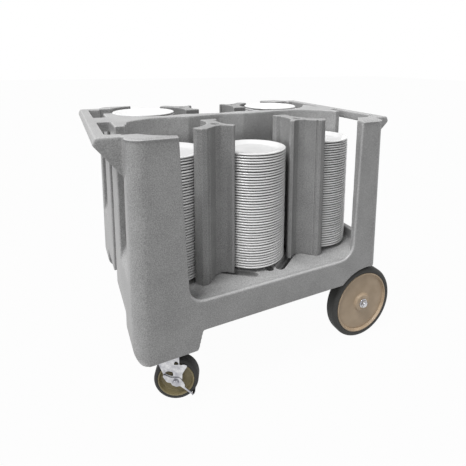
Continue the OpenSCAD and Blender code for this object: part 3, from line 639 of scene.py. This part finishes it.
def stacks():
    """Each stack of plates, set down with a hair of offset from plate to plate."""
    for name in ("near_left", "near_middle", "near_right", "far_left", "far_right"):
        node = name + "_plates"
        low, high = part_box(node)
        radius = (high.x - low.x) / 2
        count = round((high.z - low.z - PLATE_H) / PLATE_STEP) + 1
        middle = (low + high) / 2
        form = bmesh.new()
        for i in range(count):
            angle = 2.4 * i + low.x * 10
            drift = PLATE_DRIFT * math.sin(1.7 * i)
            place = Vector((middle.x + drift * math.cos(angle), middle.y + drift * math.sin(angle),
                            low.z + i * PLATE_STEP))
            sag = PLATE_SAG * (1 + math.sin(2.9 * i + low.x * 20) * math.cos(0.7 * i))
            turned(plate_profile(radius - PLATE_IN, sag), UP, place, PLATE_TURNS, form)
        piece(name + "_stacked_plates", finished(node, form, PLATE_CREASE), name + "_stack",
              "white_china", node)


# ---- Rear wheels ---------------------------------------------------------------------

def rear_wheels():
    """Big wheels: a round-shouldered tyre, and a core with a raised lip, a recess and a boss."""
    for side, way in SIDES.items():
        low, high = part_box(f"{side}_wheel_tyre")
        centre = (low + high) / 2
        radius = (high.z - low.z) / 2 / MM
        half = (high.y - low.y) / 2 / MM
        out = Vector((0, way, 0))
        core = radius - WHEEL_RIM / MM
        tyre = [
            (core - 1, -half + 3), (core + 4, -half), (radius - 7, -half), (radius, -half + 7),
            (radius, half - 7), (radius - 7, half), (core + 4, half), (core - 1, half - 3),
            (core - 1, -half + 3)]
        piece(f"{side}_rear_tyre",
              finished("rear_tyre", turned(rounded(in_mm(tyre), 5 * MM, 5), out, centre, WHEEL_TURNS)),
              f"{side}_rear_wheel", "dark_tyre", f"{side}_wheel_tyre")
        lip = half - 0.5
        bore = BORE_R / MM
        disc = [
            (bore, -25), (25, -25), (25, 2), (core - 9, 2), (core - 7, -lip), (core, -lip), (core, lip),
            (core - 1.5, lip + 1), (core - 5, lip + 1), (core - 6, lip - 3), (core - 8, lip - 7),
            (core - 13, lip - 6), (36, lip - 6), (33, lip - 5), (29, 24), (27, 25), (bore, 25), (bore, -25)]
        piece(f"{side}_rear_disc",
              finished("rear_disc", turned(rounded(in_mm(disc), 1.6 * MM, 4), out, centre, WHEEL_TURNS)),
              f"{side}_rear_wheel", "tan_wheel", f"{side}_wheel_core")


def wheel_nuts():
    """The washer and the chamfered nut on each end of the rear axle."""
    low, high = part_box("axle_nuts")
    centre = (low + high) / 2
    ring = [(AXLE_BORE_R, 0), (WASHER_R, 0), (WASHER_R, WASHER_T), (AXLE_BORE_R, WASHER_T),
            (AXLE_BORE_R, 0)]
    meshes = []
    for way in SIDES.values():
        outwards = Vector((0, way, 0)).to_track_quat("Z", "Y").to_matrix().to_4x4()
        to_cart = Matrix.Translation((centre.x, way * WASHER_AT, centre.z)) @ outwards
        washer = finished("washer", turned(rounded(ring, 0.8 * MM), UP, ORIGIN, 64))
        nut = hex_nut(*AXLE_NUT)
        nut.transform(Matrix.Translation((0, 0, WASHER_T)))
        for mesh in (washer, nut):
            mesh.transform(to_cart)
            meshes.append(mesh)
    piece("rear_axle_nuts", merged("axle_nuts", meshes), "frame", "bright_zinc", "axle_nuts")


# ---- Casters -------------------------------------------------------------------------

def caster_place(side):
    """From a caster's own frame, with its swivel at the origin and its trail along X, to the cart."""
    wheel = centre_of(f"{side}_caster_tyre")
    turn = Matrix.Rotation(CASTER_TURN, 4, "Z")
    swivel = wheel - turn.to_3x3() @ Vector((TRAIL, 0, 0))
    return Matrix.Translation((swivel.x, swivel.y, 0)) @ turn


def caster_wheels():
    """Caster wheels: a round-shouldered tyre, and a dished core with a raised lip each side."""
    half = CASTER_HALF_W / MM
    core = CASTER_CORE_R / MM
    for side in SIDES:
        low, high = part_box(f"{side}_caster_tyre")
        place = caster_place(side)
        radius = (high.z - low.z) / 2
        centre = place @ Vector((TRAIL, 0, radius))
        out = (place.to_3x3() @ Vector((0, -1, 0))).normalized()
        outer = radius / MM
        tyre = [
            (core - 1, -half + 2), (core + 2, -half), (outer - 4, -half), (outer, -half + 4),
            (outer, half - 5), (outer - 4, half), (core + 2, half), (core - 1, half - 2),
            (core - 1, -half + 2)]
        piece(f"{side}_caster_tread",
              finished("caster_tread", turned(rounded(in_mm(tyre), 4 * MM, 5), out, centre, CASTER_TURNS)),
              f"{side}_caster_wheel", "dark_tyre", f"{side}_caster_tyre")
        section = [
            (9, 18.4), (15, 18.4), (17, 7), (43.5, 6), (46.5, 13), (48, half + 1.2), (50.5, half + 1.2),
            (core, half - 1)]
        disc = section + [(r, -a) for r, a in reversed(section)] + [section[0]]
        piece(f"{side}_caster_disc",
              finished("caster_disc", turned(rounded(in_mm(disc), 2 * MM), out, centre, CASTER_TURNS)),
              f"{side}_caster_wheel", "olive_wheel", f"{side}_caster_core")


def on_side(place, x, y, z):
    """From a sheet's own plane to the cart: its X along the trail, its Y up, and outwards."""
    return place @ Matrix.Translation((x, y, z)) @ Matrix.Rotation(math.radians(90), 4, "X")


def caster_forks():
    """Pressed forks: two legs with their openings, the crown over the wheel and its ball race."""
    for side in SIDES:
        place = caster_place(side)
        low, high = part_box(f"{side}_caster_fork")
        legs = [pressed_sheet([LEG_OUTLINE, LEG_WINDOW, LEG_HOLE], LEG_T, 0.8 * MM,
                              on_side(place, 0, way * (LEG_IN + LEG_T / 2), 0)) for way in (-1, 1)]
        half = (LEG_IN + LEG_T) / MM
        crown = [(-36, -12), (-27, -27), (-12, -36), (12, -36), (27, -half), (46, -half),
                 (46, half), (27, half), (12, 36), (-12, 36), (-27, 27), (-36, 12)]
        lid = pressed_sheet([crown], CROWN_T, 1.2 * MM, place @ Matrix.Translation((0, 0, CROWN_Z)))
        top = high.z
        section = [
            (KINGPIN_R, CROWN_Z), (29 * MM, CROWN_Z), (29 * MM, top - 4.5 * MM), (26.5 * MM, top - 3 * MM),
            (27.5 * MM, top), (KINGPIN_R, top), (KINGPIN_R, CROWN_Z)]
        race = finished("race", turned(rounded(section, 1 * MM), UP, place.translation, 72))
        piece(f"{side}_pressed_fork", merged("fork", legs + [lid, race]), f"{side}_caster",
              "bright_zinc", f"{side}_caster_fork")


def caster_bolts():
    """The axle bolt of a caster with a chamfered nut on each end."""
    out = LEG_IN + LEG_T + 2 * ARM_GAP + ARM_T
    for side in SIDES:
        place = caster_place(side)
        axle_z = centre_of(f"{side}_caster_tyre").z
        shaft = [(0, -out), (BOLT_R, -out), (BOLT_R, out), (0, out)]
        meshes = [finished("shaft", turned(shaft, UP, ORIGIN, 32))]
        meshes[0].transform(on_side(place, TRAIL, 0, axle_z))
        for way in (-1, 1):
            nut = hex_nut(*BOLT_NUT)
            spin = Vector((0, way, 0)).to_track_quat("Z", "Y").to_matrix().to_4x4()
            nut.transform(place @ Matrix.Translation((TRAIL, way * out, axle_z)) @ spin)
            meshes.append(nut)
        piece(f"{side}_caster_bolt", merged("bolt", meshes), f"{side}_caster", "bright_zinc",
              f"{side}_caster_axle")


def brakes():
    """Brake pedals: a shaped side plate outside each leg and a rounded pad across the tyre."""
    for side in SIDES:
        place = caster_place(side)
        axle_z = centre_of(f"{side}_caster_tyre").z
        out = LEG_IN + LEG_T + ARM_GAP + ARM_T / 2
        plates = [pressed_sheet([BRAKE_OUTLINE], ARM_T, 0.7 * MM,
                                on_side(place, TRAIL, way * out, axle_z)) for way in (-1, 1)]
        reach = (out + ARM_T / 2) / MM
        outline = [(-PAD_HALF, -reach), (PAD_HALF, -reach), (PAD_HALF, reach), (-PAD_HALF, reach)]
        pad = pressed_sheet([outline], PAD_T, 1 * MM,
                            place @ Matrix.Translation((TRAIL, 0, axle_z))
                            @ Matrix.Rotation(PAD_DOWN, 4, "Y")
                            @ Matrix.Translation((PAD_REACH, 0, 0))
                            @ Matrix.Rotation(math.radians(90), 4, "Y"))
        piece(f"{side}_brake_lever", merged("brake", plates + [pad]), f"{side}_brake",
              "bright_zinc", f"{side}_brake_pedal")


# ---- Stage ---------------------------------------------------------------------------

def stage():
    """A white floor and surround. The camera sees them nearly white, and the floor keeps a
    light shadow of the cart."""
    form = bmesh.new()
    bmesh.ops.create_grid(form, x_segments=1, y_segments=1, size=20)
    mesh = bpy.data.meshes.new("floor")
    form.to_mesh(mesh)
    form.free()
    floor = bpy.data.objects.new("floor", mesh)
    bpy.context.scene.collection.objects.link(floor)
    material = bpy.data.materials.new("white_paper_floor")
    material.use_nodes = True
    tree = material.node_tree
    tree.nodes.clear()
    paper = add(tree, "ShaderNodeBsdfDiffuse", Color=linear("#9c9c9c"))
    glow = add(tree, "ShaderNodeEmission", Color=(1, 1, 1, 1), Strength=1.0)
    path = add(tree, "ShaderNodeLightPath")
    seen = add(tree, "ShaderNodeMath", {"operation": "MAXIMUM"},
               i0=path.outputs["Is Camera Ray"], i1=path.outputs["Is Glossy Ray"])
    part = add(tree, "ShaderNodeMath", {"operation": "MULTIPLY"}, i0=seen.outputs[0], i1=FLOOR_GLOW)
    both = add(tree, "ShaderNodeMixShader", Fac=part.outputs[0], i1=paper.outputs[0], i2=glow.outputs[0])
    add(tree, "ShaderNodeOutputMaterial", Surface=both.outputs[0])
    mesh.materials.append(material)

    world = bpy.data.worlds.new("surround")
    bpy.context.scene.world = world
    world.use_nodes = True
    tree = world.node_tree
    tree.nodes.clear()
    path = add(tree, "ShaderNodeLightPath")
    sharp = add(tree, "ShaderNodeMath", {"operation": "MAXIMUM"},
                i0=path.outputs["Is Glossy Ray"], i1=path.outputs["Is Transmission Ray"])
    seen = add(tree, "ShaderNodeMath", {"operation": "MAXIMUM"},
               i0=path.outputs["Is Camera Ray"], i1=sharp.outputs[0])
    strength = add(tree, "ShaderNodeMapRange", Value=seen.outputs[0], i3=SKY, i4=1.0)
    sky = add(tree, "ShaderNodeBackground", Color=(1, 1, 1, 1), Strength=strength.outputs[0])
    add(tree, "ShaderNodeOutputWorld", Surface=sky.outputs[0])


def lamp():
    data = bpy.data.lights.new("key", "SUN")
    data.energy = LAMP_POWER
    data.angle = LAMP_SPREAD
    key = bpy.data.objects.new("key", data)
    bpy.context.scene.collection.objects.link(key)
    key.rotation_mode = "QUATERNION"
    key.rotation_quaternion = LAMP_FROM.to_track_quat("Z", "Y")


def camera():
    """The photograph's camera. Its shift keeps the photograph's framing."""
    data = bpy.data.cameras.new("camera")
    data.sensor_width = SENSOR
    data.lens = SENSOR * FOCAL_PX / FRAME_PX
    data.shift_x = 0.5 - CENTRE_PX[0] / FRAME_PX
    data.shift_y = CENTRE_PX[1] / FRAME_PX - 0.5
    ahead = Vector((math.sin(EYE_TURN) * math.cos(EYE_DOWN), math.cos(EYE_TURN) * math.cos(EYE_DOWN),
                    -math.sin(EYE_DOWN)))
    right = ahead.cross(UP).normalized()
    up = right.cross(ahead)
    across = right * math.cos(EYE_ROLL) + up * math.sin(EYE_ROLL)
    upward = up * math.cos(EYE_ROLL) - right * math.sin(EYE_ROLL)
    turn = Matrix((across, upward, -ahead)).transposed()
    eye = bpy.data.objects.new("camera", data)
    bpy.context.scene.collection.objects.link(eye)
    eye.matrix_world = Matrix.Translation(EYE) @ turn.to_4x4()
    bpy.context.scene.camera = eye


bpy.context.scene.view_settings.view_transform = "Standard"
camera()
stage()
lamp()
dress_cad_nodes()
moulded_body()
towers()
stacks()
rear_wheels()
wheel_nuts()
caster_wheels()
caster_forks()
caster_bolts()
brakes()
